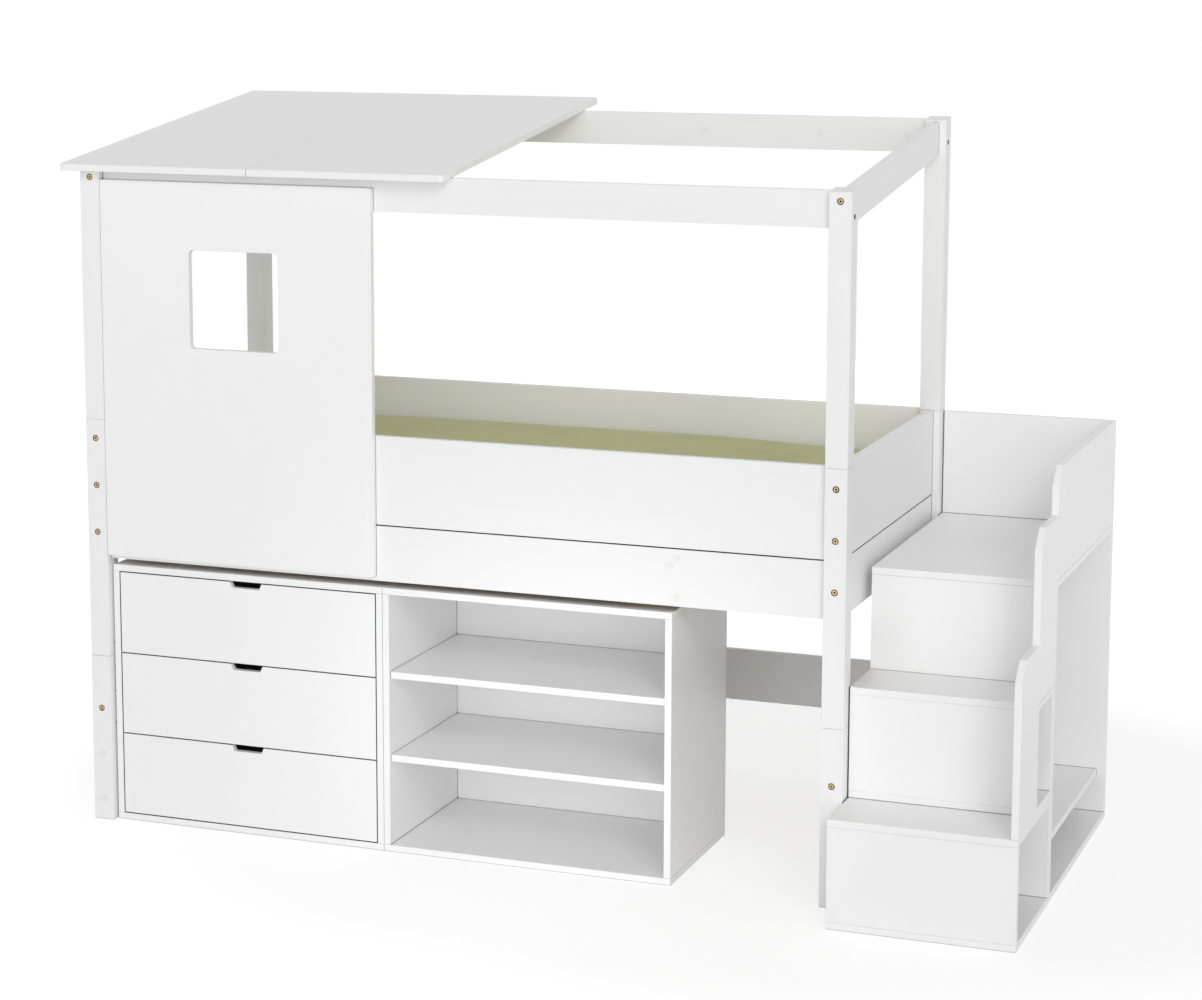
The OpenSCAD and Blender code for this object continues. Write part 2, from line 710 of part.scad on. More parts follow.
module roof_board_right() color(white) placed() difference() {
    on_roof() linear_extrude(roof_t) translate([roof_board_w + roof_seam, 0]) {
        translate([roof_r, 0]) rounded_rect(roof_board_w - roof_r, roof_len, roof_r);
        square([roof_board_w / 2, roof_len]);
    }
    roof_screws(fit);
}

// Cleat whose upper side follows the roof
module cleat(y) along_x(cleat_start, cleat_l) polygon([[y, roof_z(y) - cleat_h],
    [y + cleat_t, roof_z(y) - cleat_h], [y + cleat_t, roof_z(y + cleat_t)], [y, roof_z(y)]]);

module roof_cleats() color(pine) placed() difference() {
    union() {
        cleat(inner_y);
        cleat(far_y - cleat_t);
    }
    cleat_rail_screws(fit);
    roof_screws(fit);
}

// --- metal and wooden fittings of the bed ---
// Places children on each bolt axis at the bed's left end, as at the front left corner
module end_bolt_places() {
    both_sides() for (z = concat([stretcher_mid, rail_mid], guard_bolts))
        translate([post_mid, 0, z]) children();
    translate([post_mid, 0, front_bolt_z]) children();
    at_back() translate([post_mid, 0, back_bolt_z]) children();
}

// Hexagon socket along +Z
module hex_socket(depth) cylinder(d = socket_af / cos(30), h = depth, $fn = 6);

module sleeve_nuts() color(brass) placed() both_ends() end_bolt_places() difference() {
    union() {
        rod_y([0, seat, 0], sleeve_head_d, sleeve_head_t - seat);
        rod_y([0, sleeve_head_t - eps, 0], sleeve_d, sleeve_l - sleeve_head_t);
    }
    backwards() hex_socket(2 * sleeve_head_t);
    rod_y([0, 2 * sleeve_head_t + 2, 0], thread_bore, sleeve_l);
}

// Flat-head bolt with a hexagon socket, from the post's outer side into an upper rail
module side_bolt(z) translate([0, post_mid, z]) difference() {
    union() {
        rod_x([head_recess - head_t, 0, 0], head_d, head_t);
        rod_x([head_recess - eps, 0, 0], bolt_d, post + bolt_reach - head_recess);
    }
    translate([head_recess - head_t - eps, 0, 0]) rotate([0, 90, 0]) hex_socket(head_t / 2);
}

// Bolts in the bed's ends, bolts in the upper rails, and the rods that join the post sections
module frame_bolts() color(zinc) placed() both_ends() {
    end_bolt_places() rod_y([0, sleeve_l / 2, 0], bolt_d, post + bolt_reach - sleeve_l / 2);
    side_bolt(front_side_bolt_z);
    at_back() side_bolt(back_side_bolt_z);
    both_sides() for (z = [foot_h, upper_joint_z]) joint_z([post_mid, post_mid, z], bolt_d, 2 * rod_half);
}

// Barrel nut along +Z, threaded across along X
module barrel_nut() difference() {
    rod_z([0, 0, -barrel_l / 2], barrel_d, barrel_l);
    rod_x([-barrel_d, 0, 0], thread_bore, 2 * barrel_d);
}

module barrel_nuts() color(zinc) placed() both_ends() {
    end_bolt_places() translate([0, post + barrel_in, 0]) rotate([0, 90, 0]) rotate([0, 0, 90]) barrel_nut();
    translate([post + barrel_in, post_mid, front_side_bolt_z]) backwards() barrel_nut();
    at_back() translate([post + barrel_in, post_mid, back_side_bolt_z]) backwards() barrel_nut();
    both_sides() for (z = [foot_h, upper_joint_z], s = [-1, 1])
        translate([post_mid, post_mid, z + s * rod_barrel]) rotate([0, 90, 0]) barrel_nut();
}

module frame_dowels() both_ends() {
    both_sides() {
        for (z = concat(pair(rail_mid, dowel_spread), pair(guard_mid, guard_spread)))
            joint_x([post, post_mid, z], dowel_d, dowel_l);
        for (z = concat(pair(rail_mid, dowel_spread), pair(stretcher_mid, dowel_spread)))
            joint_y([post_mid, post, z], dowel_d, dowel_l);
    }
    joint_x([post, post_mid, front_upper_z + upper_h / 2 + top_dowel_rise], dowel_d, dowel_l);
    joint_y([post_mid, post, front_bolt_z - end_dowel_drop], dowel_d, dowel_l);
    at_back() {
        for (z = pair(stretcher_mid, dowel_spread)) joint_x([post, post_mid, z], dowel_d, dowel_l);
        joint_x([post, post_mid, back_upper_z + upper_h / 2 + top_dowel_rise], dowel_d, dowel_l);
        joint_y([post_mid, post, back_bolt_z - end_dowel_drop], dowel_d, dowel_l);
    }
}

// Cover cap that lies on the face at Y = 0, with its stem along +Y
module cover_cap() {
    rod_y([0, -cap_t, 0], cap_d, cap_t);
    rod_y([0, -eps, 0], cap_stem_d, cap_stem_l + eps);
}

module cover_caps() color(off_white) placed() {
    both_ends() both_sides() for (k = [1, 2])
        translate([post_mid, 0, stretcher_mid - k * hole_pitch]) cover_cap();
    spare_panel_places() cover_cap();
    spare_cleat_places() cover_cap();
}

// --- dowels of the chest, the shelf unit and the stairs, or with some play their holes ---
// Across a joint at the origin, along Z; over is true where the flat board lies on top
module edge_dowel(over, play) {
    extra = play > 0 ? hole_extra : 0;
    rod_z([0, 0, over ? flat_reach - panel_dowel_l - extra : -flat_reach],
        panel_dowel_d + play, panel_dowel_l + extra);
}

module carcass_dowels(x, play)
    for (dx = [cab_t / 2, cab_w - cab_t / 2], dy = [dowel_in, board_d - dowel_in])
        translate([x + dx, cab_y + dy, 0]) {
            translate([0, 0, cab_t]) edge_dowel(false, play);
            translate([0, 0, cab_h - cab_t]) edge_dowel(true, play);
        }

module shelf_dowels(play) for (i = [2, 3], dy = [dowel_in, board_d - dowel_in])
    translate([unit_x, cab_y + dy, shelf_z(i) + cab_t / 2]) {
        translate([cab_t, 0, 0]) rotate([0, 90, 0]) edge_dowel(false, play);
        translate([cab_w - cab_t, 0, 0]) rotate([0, 90, 0]) edge_dowel(true, play);
    }

// Standing boards of the stairs that run across it: middle plane, foot and head
stair_cross = [[stair_y + stair_t / 2, stair_t, tread_1_z - stair_t],
    [riser_3_y - stair_t / 2, stair_t, tread_1_z - stair_t],
    [riser_2_y + stair_t / 2, slab_top, tread_2_z - stair_t],
    [riser_3_y - stair_t / 2, slab_top, tread_2_z - stair_t],
    [riser_3_y + stair_t / 2, stair_t, platform_z - stair_t],
    [bed_w - stair_t / 2, stair_t, platform_z - stair_t]];

// Closed side boards: front edge, back edge, foot and head
stair_sides = [[stair_y + stair_t, riser_3_y - stair_t, stair_t, tread_1_z - stair_t],
    [riser_2_y + stair_t, riser_3_y - stair_t, slab_top, tread_2_z - stair_t],
    [riser_3_y + stair_t, bed_w - stair_t, stair_t, platform_z - stair_t]];

// Lobes of the side guard: front edge, back edge, foot and head
guard_lobes = [[stair_y, riser_2_y, tread_1_z, tread_1_z + guard_over_tread],
    [riser_2_y, riser_3_y, tread_2_z, tread_2_z + guard_over_tread],
    [riser_3_y, bed_w, platform_z, platform_z + guard_over_platform]];

module stair_dowels(play) {
    for (b = stair_cross, x = [stair_x + stair_dowel_in, stair_end - stair_dowel_in]) {
        translate([x, b[0], b[1]]) edge_dowel(false, play);
        translate([x, b[0], b[2]]) edge_dowel(true, play);
    }
    for (s = stair_sides) {
        inset = min(stair_dowel_in, (s[1] - s[0]) / 4);
        for (y = [s[0] + inset, s[1] - inset]) {
            translate([stair_x + stair_t / 2, y, s[2]]) edge_dowel(false, play);
            translate([stair_x + stair_t / 2, y, s[3]]) edge_dowel(true, play);
        }
    }
    for (g = guard_lobes, y = [g[0] + guard_dowel_in, g[1] - guard_dowel_in])
        translate([stair_end - stair_t / 2, y, g[2]]) edge_dowel(false, play);
    for (x = [stair_x + 2 * stair_dowel_in, stair_end - 2 * stair_dowel_in])
        translate([x, bed_w - stair_t / 2, platform_z]) edge_dowel(false, play);
    for (x = [stair_in + stair_dowel_in, stair_end - locker_inset - stair_dowel_in])
        translate([x, 0, locker_shelf_z - stair_t / 2]) {
            translate([0, riser_3_y + stair_t, 0]) backwards() edge_dowel(false, play);
            translate([0, bed_w - stair_t, 0]) backwards() edge_dowel(true, play);
        }
}

module wood_dowels() color(beech) placed() {
    frame_dowels();
    carcass_dowels(chest_x, 0);
    carcass_dowels(unit_x, 0);
    shelf_dowels(0);
    stair_dowels(0);
}

// --- boards shared by the chest and the shelf unit; x is the unit's left side ---
module carcass_flat(x, z) difference() {
    block([x, cab_y, z], [cab_w, board_d, cab_t]);
    carcass_dowels(x, fit);
}

module carcass_sides(x) difference() {
    for (dx = [0, cab_w - cab_t]) block([x + dx, cab_y, cab_t], [cab_t, board_d, cab_in_h]);
    carcass_dowels(x, fit);
}

module carcass_back(x) block([x, cab_y + board_d, foot_free], [cab_w, back_t, cab_h - foot_free]);

module chest_base() color(white) placed() carcass_flat(chest_x, 0);
module chest_top() color(white) placed() carcass_flat(chest_x, cab_h - cab_t);
module chest_sides() color(white) placed() carcass_sides(chest_x);
module chest_back() color(white) placed() carcass_back(chest_x);

module shelf_unit_base() color(white) placed() carcass_flat(unit_x, 0);
module shelf_unit_top() color(white) placed() carcass_flat(unit_x, cab_h - cab_t);
module shelf_unit_back() color(white) placed() carcass_back(unit_x);

module shelf_unit_sides() color(white) placed() difference() {
    carcass_sides(unit_x);
    shelf_dowels(fit);
}

module shelf_boards() color(white) placed() difference() {
    for (i = [2, 3])
        block([unit_x + cab_t, cab_y + shelf_inset, shelf_z(i)], [cab_in_w, board_d - shelf_inset, cab_t]);
    shelf_dowels(fit);
}

// --- drawers; i is 1 for the top one ---
// A piece and its mirror image in the middle plane of the chest
module both_tray_sides() {
    children();
    translate([2 * chest_x + cab_w, 0, 0]) mirror([1, 0, 0]) children();
}

// Spigots that join a tray's walls to its front, or with some play their holes
module tray_spigots(i, play) both_tray_sides() for (z = pair(front_z(i) + tray_up + tray_h / 2, tray_h / 3))
    rod_y([tray_x + tray_t / 2, tray_y - tray_dowel_l - (play > 0 ? hole_extra : 0), z],
        dowel_d + play, tray_dowel_l + 2 * hole_extra);

// Half of the grip notch's outline, from the upper edge down to the bottom line
grip_side = atan(grip_taper / grip_d);              // lean of the notch's side
grip_turn_x = grip_w / 2 - (grip_d - grip_r) * tan(grip_side) - grip_r / cos(grip_side);
grip_steps = 6;
function grip_half(s) = concat([[s * grip_w / 2, 0]],
    [for (i = [0 : grip_steps]) let (a = grip_side + (90 - grip_side) * i / grip_steps)
        [s * (grip_turn_x + grip_r * cos(a)), grip_r - grip_d - grip_r * sin(a)]]);

module grip_notch() polygon(concat([[-grip_w / 2, 1], [grip_w / 2, 1]], grip_half(1),
    [for (i = [grip_steps + 1 : -1 : 0]) grip_half(-1)[i]]));

module drawer_front(i) color(white) placed() difference() {
    along_y(cab_y, cab_t) translate([chest_x + cab_w / 2, front_z(i)]) difference() {
        translate([-front_w / 2, 0]) square([front_w, front_h]);
        translate([0, front_h]) grip_notch();
    }
    tray_spigots(i, fit);
}

// Two walls, a back between them and a bottom in their grooves
module drawer_tray(i) color(white) placed() {
    z = front_z(i) + tray_up;
    difference() {
        union() {
            both_tray_sides() block([tray_x, tray_y, z], [tray_t, tray_d, tray_h]);
            tray_spigots(i, 0);
        }
        tray_bottom(z, fit);
    }
    difference() {
        block([tray_x + tray_t, tray_y + tray_d - tray_t, z], [tray_w - 2 * tray_t, tray_t, tray_h]);
        tray_bottom(z, fit);
    }
    tray_bottom(z, 0);
}

module tray_bottom(z, play) block(
    [tray_x + tray_t - groove_d - play / 2, tray_y, z + tray_floor_up - play / 2],
    [tray_w - 2 * tray_t + 2 * groove_d + play, tray_d - tray_t + groove_d + play / 2, tray_floor + play]);

// Channel profile at its middle height, open towards +X; x is its outer face
module channel(x, y, z, h, depth, l) difference() {
    block([x, y, z - h / 2], [depth, l, h]);
    block([x + runner_t, y - 1, z - h / 2 + runner_t], [depth, l + 2, h - 2 * runner_t]);
}

function runner_mid(i) = front_z(i) + tray_up + tray_h / 2;

module runner_channels() color(zinc) placed() both_tray_sides() for (i = [1, 2, 3])
    channel(chest_x + cab_t, tray_y, runner_mid(i), runner_h, runner_space - 2 * runner_t, runner_l);

// Sliding member on a tray's wall, inside its channel
module drawer_runners(i) color(zinc) placed() both_tray_sides() {
    h = runner_h - 2 * runner_t - 2 * runner_play;
    translate([2 * tray_x - runner_space + runner_t + 1, 0, 0]) mirror([1, 0, 0])
        channel(tray_x - runner_space + runner_t + 1, tray_y, runner_mid(i), h,
            runner_space - runner_t - 1, runner_l);
}

module drawer_front_1() drawer_front(1);
module drawer_front_2() drawer_front(2);
module drawer_front_3() drawer_front(3);
module drawer_tray_1() drawer_tray(1);
module drawer_tray_2() drawer_tray(2);
module drawer_tray_3() drawer_tray(3);
module drawer_runners_1() drawer_runners(1);
module drawer_runners_2() drawer_runners(2);
module drawer_runners_3() drawer_runners(3);

// --- stairs ---
// Flat board across the whole unit, between two planes in Y
module stair_flat(y_0, y_1, z) difference() {
    block([stair_x, y_0, z], [stair_w, y_1 - y_0, stair_t]);
    stair_dowels(fit);
}

// Standing board across the whole unit; k is its place in stair_cross
module stair_upright(k) difference() {
    block([stair_x, stair_cross[k][0] - stair_t / 2, stair_cross[k][1]],
        [stair_w, stair_t, stair_cross[k][2] - stair_cross[k][1]]);
    stair_dowels(fit);
}

module stair_base() color(white) placed() stair_flat(stair_y, bed_w, 0);
module stair_tread_1() color(white) placed() stair_flat(stair_y, riser_3_y, tread_1_z - stair_t);
module stair_step_floor() color(white) placed() stair_flat(riser_2_y, riser_3_y, tread_1_z);
module stair_tread_2() color(white) placed() stair_flat(riser_2_y, riser_3_y, tread_2_z - stair_t);
module stair_platform() color(white) placed() stair_flat(riser_3_y, bed_w, platform_z - stair_t);

module stair_riser_1() color(white) placed() stair_upright(0);
module stair_riser_2() color(white) placed() stair_upright(2);
module stair_riser_3() color(white) placed() stair_upright(4);
module stair_back_wall() color(white) placed() stair_upright(5);

module stair_step_backs() color(white) placed() {
    stair_upright(1);
    stair_upright(3);
}

module stair_inner_sides() color(white) placed() difference() {
    for (s = stair_sides) block([stair_x, s[0], s[2]], [stair_t, s[1] - s[0], s[3] - s[2]]);
    stair_dowels(fit);
}

module stair_back_panel() color(white) placed() difference() {
    block([stair_x, bed_w - stair_t, platform_z], [guard_x - stair_x, stair_t, guard_over_platform]);
    stair_dowels(fit);
}

// One board whose lower edge stands on the steps and whose upper edge steps with them
module stair_side_guard() color(white) placed() difference() {
    along_x(guard_x, stair_t) polygon(concat(
        [for (g = guard_lobes) each
            [[g[0], g[3] - guard_chamfer], [g[0] + guard_chamfer, g[3]], [g[1], g[3]]]],
        [for (k = [2 : -1 : 0]) let (g = guard_lobes[k]) each [[g[1], g[2]], [g[0], g[2]]]]));
    stair_dowels(fit);
}

module stair_locker_shelf() color(white) placed() difference() {
    block([stair_in, riser_3_y + stair_t, locker_shelf_z - stair_t],
        [stair_w - stair_t - locker_inset, bed_w - riser_3_y - 2 * stair_t, stair_t]);
    stair_dowels(fit);
}

post_feet();
post_middles();
front_post_tops();
back_post_tops();
front_upper_rail();
back_upper_rail();
end_upper_rails();
front_guard();
back_guard();
end_guards();
front_bed_rail();
back_bed_rail();
end_bed_rails();
stretchers();
slat_ledgers();
slats();
mattress();
house_front();
roof_board_left();
roof_board_right();
roof_cleats();
sleeve_nuts();
frame_bolts();
barrel_nuts();
wood_dowels();
wood_screws();
cover_caps();
chest_base();
chest_top();
chest_sides();
chest_back();
runner_channels();
drawer_front_1();
drawer_front_2();
drawer_front_3();
drawer_tray_1();
drawer_tray_2();
drawer_tray_3();
drawer_runners_1();
drawer_runners_2();
drawer_runners_3();
shelf_unit_base();
shelf_unit_top();
shelf_unit_sides();
shelf_unit_back();
shelf_boards();
stair_base();
stair_riser_1();
stair_riser_2();
stair_riser_3();
stair_tread_1();
stair_tread_2();
stair_step_floor();
stair_step_backs();
stair_inner_sides();
stair_platform();
stair_back_wall();
stair_back_panel();
stair_side_guard();
stair_locker_shelf();
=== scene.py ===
# Child's cabin bed with a house front, a lean-to roof, a chest of drawers, a shelf unit and stairs.
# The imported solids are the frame: each board keeps its place and size, and gets its finish here.
from math import pi, radians
import bmesh
import bpy
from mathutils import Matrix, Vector
from mathutils.bvhtree import BVHTree


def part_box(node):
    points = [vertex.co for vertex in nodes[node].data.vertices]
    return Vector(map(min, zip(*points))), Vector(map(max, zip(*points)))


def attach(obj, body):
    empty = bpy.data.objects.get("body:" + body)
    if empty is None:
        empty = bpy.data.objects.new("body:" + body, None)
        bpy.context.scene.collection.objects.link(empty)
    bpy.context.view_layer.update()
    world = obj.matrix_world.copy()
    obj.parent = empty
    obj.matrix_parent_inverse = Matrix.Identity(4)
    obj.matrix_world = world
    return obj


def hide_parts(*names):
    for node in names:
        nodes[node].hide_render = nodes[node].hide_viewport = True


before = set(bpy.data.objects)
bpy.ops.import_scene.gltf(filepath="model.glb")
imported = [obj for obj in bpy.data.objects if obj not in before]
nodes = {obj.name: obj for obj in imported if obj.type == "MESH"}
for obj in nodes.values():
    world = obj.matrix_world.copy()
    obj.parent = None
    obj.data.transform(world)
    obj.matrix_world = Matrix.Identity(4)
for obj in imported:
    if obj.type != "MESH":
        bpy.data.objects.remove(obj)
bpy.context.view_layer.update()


# ---- Posts -------------------------------------------------------------------------------------
# Four square posts of solid pine, each of three sections that are stacked on a steel rod. They are
# planed, the long edges are eased by sanding, and the whole is sprayed with white satin lacquer.

def linear(code):
    """Turns an sRGB hex colour into the linear values that the shaders take."""
    parts = [int(code[i:i + 2], 16) / 255 for i in (1, 3, 5)]
    return [p / 12.92 if p <= 0.04045 else ((p + 0.055) / 1.055) ** 2.4 for p in parts] + [1.0]


def add(tree, kind, inputs, **settings):
    """Adds one node. Inputs are values, or the output sockets that are linked into it."""
    made = tree.nodes.new(kind)
    for name, value in settings.items():
        setattr(made, name, value)
    for name, value in inputs.items():
        if isinstance(value, bpy.types.NodeSocket):
            tree.links.new(value, made.inputs[name])
        else:
            made.inputs[name].default_value = value
    return made


def start_material(name):
    """A new material with its node tree and the place on each piece, in metres."""
    material = bpy.data.materials.new(name)
    material.use_nodes = True
    material.node_tree.nodes.clear()
    place = material.node_tree.nodes.new("ShaderNodeTexCoord").outputs["Object"]
    return material, material.node_tree, place


def end_material(tree, **inputs):
    """Closes a material with its surface shader and its output."""
    named = {key.replace("_", " "): value for key, value in inputs.items()}
    surface = add(tree, "ShaderNodeBsdfPrincipled", named)
    add(tree, "ShaderNodeOutputMaterial", {"Surface": surface.outputs["BSDF"]})


def begin_piece(name, mesh):
    """Makes a mesh the one selected object, and opens it in edit mode."""
    bpy.ops.object.select_all(action="DESELECT")
    piece = bpy.data.objects.new(name, mesh)
    bpy.context.collection.objects.link(piece)
    bpy.context.view_layer.objects.active = piece
    piece.select_set(True)
    bpy.ops.object.mode_set(mode="EDIT")
    bpy.ops.mesh.select_all(action="SELECT")
    return piece


# Corners closer than this are one corner, and a ray starts this far off the face that it leaves.
HAIR = 1e-5
WIDEST_BORE = 0.0185


def is_bore(edge, walls):
    """Tells whether an edge is the mouth of a narrow bore, with another wall close across."""
    middle = (edge.verts[0].co + edge.verts[1].co) / 2
    for face in edge.link_faces:
        # A look straight out from each face, a little way in from the edge.
        start = middle.lerp(face.calc_center_median(), 0.1) + face.normal * HAIR
        if walls.ray_cast(start, face.normal, WIDEST_BORE)[0] is not None:
            return True
    return False


def coat(mesh, material):
    """Gives a mesh its one finish."""
    mesh.materials.clear()
    mesh.materials.append(material)


# Faces that meet at less than the first angle are one plane. Edges are eased where they turn by
# more than the second, and the third keeps the arc of a bore or an eased edge smooth.
ONE_PLANE = radians(0.5)
SHARP = radians(30)
SMOOTH = radians(50)


def finish_board(node, name, material, easing, body="bed", bores=False):
    """Copies a piece from the frame, joins its triangles into plain faces and eases its edges."""
    piece = begin_piece(name, nodes[node].data.copy())
    bpy.ops.mesh.remove_doubles(threshold=HAIR)
    bpy.ops.mesh.dissolve_limited(angle_limit=ONE_PLANE)
    bpy.ops.mesh.select_all(action="DESELECT")
    edit = bmesh.from_edit_mesh(piece.data)
    walls = BVHTree.FromBMesh(edit)
    for edge in edit.edges:
        sharp = edge.is_manifold and edge.is_convex and edge.calc_face_angle(0) > SHARP
        if sharp and (bores or not is_bore(edge, walls)):
            edge.select_set(True)
    edit.select_flush_mode()
    bmesh.update_edit_mesh(piece.data)
    bpy.ops.mesh.bevel(offset=easing, segments=2, affect="EDGES", clamp_overlap=False)
    bpy.ops.object.mode_set(mode="OBJECT")
    bpy.ops.object.shade_smooth_by_angle(angle=SMOOTH)
    bpy.ops.object.modifier_add(type="WEIGHTED_NORMAL")
    piece.modifiers[-1].keep_sharp = True
    bpy.ops.object.modifier_apply(modifier=piece.modifiers[-1].name)
    coat(piece.data, material)
    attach(piece, body)
    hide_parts(node)
    return piece


# The painted shade of a joint, a gap or an inner corner fades out about halfway along this.
JOINT_REACH = 0.006


def painted_joint_shade(tree, colour):
    """Paints shade into a finish near a joint, a gap or an inner corner, where less light gets in.
    """
    openness = add(tree, "ShaderNodeAmbientOcclusion", {"Distance": JOINT_REACH}, samples=8)
    shade = add(tree, "ShaderNodeMapRange", {"Value": openness.outputs["AO"], "From Min": 0.3,
                                             "From Max": 0.75})
    # Where occlusion is deep, the colour goes towards a near-black painted shade.
    return add(tree, "ShaderNodeMix", {"Factor": shade.outputs["Result"], "A": linear("#1f1d1b"),
                                       "B": colour}, data_type="RGBA").outputs["Result"]


def lacquered_pine(name, grain_scale):
    """White satin lacquer sprayed on planed pine: even and close, with the grain faintly raised."""
    material, tree, place = start_material(name)
    # A pine board's rings are 2 to 5 mm apart across the grain and run on for half a metre.
    along = add(tree, "ShaderNodeMapping", {"Vector": place, "Scale": grain_scale})
    rings = add(tree, "ShaderNodeTexNoise", {"Vector": along.outputs["Vector"], "Scale": 1.0,
                                             "Detail": 4.0, "Roughness": 0.55})
    shade = add(tree, "ShaderNodeMix", {"Factor": rings.outputs["Fac"], "A": linear("#f5f5f5"),
                                        "B": linear("#f9f9f9")}, data_type="RGBA")
    # The spray leaves a fine peel of about 3 mm, drawn as coarse as it needs to catch the light.
    peel = add(tree, "ShaderNodeTexNoise", {"Vector": place, "Scale": 330.0, "Detail": 2.0})
    relief = add(tree, "ShaderNodeMath", {0: rings.outputs["Fac"], 1: peel.outputs["Fac"]},
                 operation="ADD")
    bump = add(tree, "ShaderNodeBump", {"Height": relief.outputs["Value"], "Strength": 0.12,
                                        "Distance": 0.0004})
    satin = add(tree, "ShaderNodeMapRange", {"Value": rings.outputs["Fac"], "To Min": 0.34,
                                             "To Max": 0.46})
    # The base colour carries painted shade in the joints and inner corners.
    end_material(tree, Base_Color=painted_joint_shade(tree, shade.outputs["Result"]),
                 Roughness=satin.outputs["Result"], Normal=bump.outputs["Normal"], IOR=1.5)
    return material


PINE_EASING = 0.0012
upright_pine = lacquered_pine("satin lacquer on upright pine", (260, 260, 3))
for node in ("post_feet", "post_middles", "front_post_tops", "back_post_tops"):
    finish_board(node, node + "_lacquered", upright_pine, PINE_EASING)


# ---- Bed rails, guards and stretchers ------------------------------------------------------------
# Boards of the same pine, 19 mm thick, planed with eased edges and sprayed white before they are
# dowelled and bolted between the posts. Their grain runs along each board.

lengthwise_pine = lacquered_pine("satin lacquer on lengthwise pine", (3, 260, 260))
crosswise_pine = lacquered_pine("satin lacquer on crosswise pine", (260, 3, 260))
for node in ("front_upper_rail", "back_upper_rail", "front_guard", "back_guard", "front_bed_rail",
             "back_bed_rail", "stretchers"):
    finish_board(node, node + "_lacquered", lengthwise_pine, PINE_EASING)
for node in ("end_upper_rails", "end_guards", "end_bed_rails"):
    finish_board(node, node + "_lacquered", crosswise_pine, PINE_EASING)


# ---- Slats, ledgers and roof cleats --------------------------------------------------------------
# Bare pine, sawn and planed: fourteen slats on two ledgers, and two cleats under the roof boards.
# The saw leaves long pale and dark rings, and a small knot here and there.

def bare_pine(name, grain_scale, knot_scale):
    """Planed, unfinished pine: straw yellow with darker late wood, knots and a dull surface."""
    material, tree, place = start_material(name)
    along = add(tree, "ShaderNodeMapping", {"Vector": place, "Scale": grain_scale})
    rings = add(tree, "ShaderNodeTexNoise", {"Vector": along.outputs["Vector"], "Scale": 1.0,
                                             "Detail": 5.0, "Roughness": 0.6, "Distortion": 0.4})
    wood = add(tree, "ShaderNodeValToRGB", {"Fac": rings.outputs["Fac"]})
    stops = wood.color_ramp.elements
    stops[0].position = 0.3
    stops[0].color = linear("#a87540")
    stops[1].position = 0.72
    stops[1].color = linear("#d9b27c")
    stops.new(0.5).color = linear("#c79a61")
    # Knots are 8 to 15 mm across and sit some 300 mm apart.
    spread = add(tree, "ShaderNodeMapping", {"Vector": place, "Scale": knot_scale})
    knots = add(tree, "ShaderNodeTexVoronoi", {"Vector": spread.outputs["Vector"], "Scale": 1.0})
    heart = add(tree, "ShaderNodeMapRange", {"Value": knots.outputs["Distance"], "From Min": 0.03,
                                             "From Max": 0.09, "To Min": 1.0, "To Max": 0.0})
    colour = add(tree, "ShaderNodeMix", {
        "Factor": heart.outputs["Result"], "A": wood.outputs["Color"], "B": linear("#7d5230")},
        data_type="RGBA")
    bump = add(tree, "ShaderNodeBump", {"Height": rings.outputs["Fac"], "Strength": 0.25,
                                        "Distance": 0.0005})
    dull = add(tree, "ShaderNodeMapRange", {"Value": rings.outputs["Fac"], "To Min": 0.78,
                                            "To Max": 0.6})
    end_material(tree, Base_Color=colour.outputs["Result"], Roughness=dull.outputs["Result"],
                 Normal=bump.outputs["Normal"], IOR=1.45)
    return material


SLAT_EASING = 0.002
LATH_EASING = 0.0015
crosswise_wood = bare_pine("planed pine slats", (180, 5, 180), (9, 3, 9))
lengthwise_wood = bare_pine("planed pine ledgers", (5, 180, 180), (3, 12, 12))
finish_board("slats", "slats_planed", crosswise_wood, SLAT_EASING)
finish_board("slat_ledgers", "slat_ledgers_planed", lengthwise_wood, LATH_EASING)
finish_board("roof_cleats", "roof_cleats_planed", crosswise_wood, LATH_EASING)


# ---- House front, roof boards and the boards of the chest, the shelf unit and the stairs ---------
# Cut from 18 and 19 mm wood fibre board with all edges machined round a little, then primed, sanded
# and sprayed with the same white satin lacquer, which dries with a very fine even grain.

def lacquered_board(name, pale, deep, rough_low, rough_high):
    """Satin lacquer on fibre board: flat and even, with a fine peel and a faint cloud of gloss."""
    material, tree, place = start_material(name)
    cloud = add(tree, "ShaderNodeTexNoise", {"Vector": place, "Scale": 9.0, "Detail": 2.0})
    shade = add(tree, "ShaderNodeMix", {"Factor": cloud.outputs["Fac"], "A": linear(deep),
                                        "B": linear(pale)}, data_type="RGBA")
    # The peel of a sprayed board is about 2 mm across and a few hundredths of a millimetre deep.
    peel = add(tree, "ShaderNodeTexNoise", {"Vector": place, "Scale": 480.0, "Detail": 3.0})
    bump = add(tree, "ShaderNodeBump", {"Height": peel.outputs["Fac"], "Strength": 0.1,
                                        "Distance": 0.0003})
    satin = add(tree, "ShaderNodeMapRange", {"Value": cloud.outputs["Fac"], "To Min": rough_low,
                                             "To Max": rough_high})
    # The base colour carries painted shade in the joints and inner corners.
    end_material(tree, Base_Color=painted_joint_shade(tree, shade.outputs["Result"]),
                 Roughness=satin.outputs["Result"], Normal=bump.outputs["Normal"], IOR=1.5)
    return material


BOARD_EASING = 0.001
white_board = lacquered_board("satin lacquer on fibre board", "#fbfbfb", "#f9f9f9", 0.32, 0.42)
for node in ("house_front", "roof_board_left", "roof_board_right",
             "chest_base", "chest_top", "chest_sides",
             "shelf_unit_base", "shelf_unit_top", "shelf_unit_sides", "shelf_boards",
             "stair_base", "stair_riser_1", "stair_riser_2", "stair_riser_3", "stair_tread_1",
             "stair_tread_2", "stair_step_floor", "stair_step_backs", "stair_inner_sides",
             "stair_platform", "stair_back_wall", "stair_back_panel", "stair_side_guard",
             "stair_locker_shelf"):
    finish_board(node, node + "_lacquered", white_board, BOARD_EASING)


# ---- Back panels ---------------------------------------------------------------------------------
# Thin hardboard with a white foil on the face, set into the back of the chest and the shelf unit.

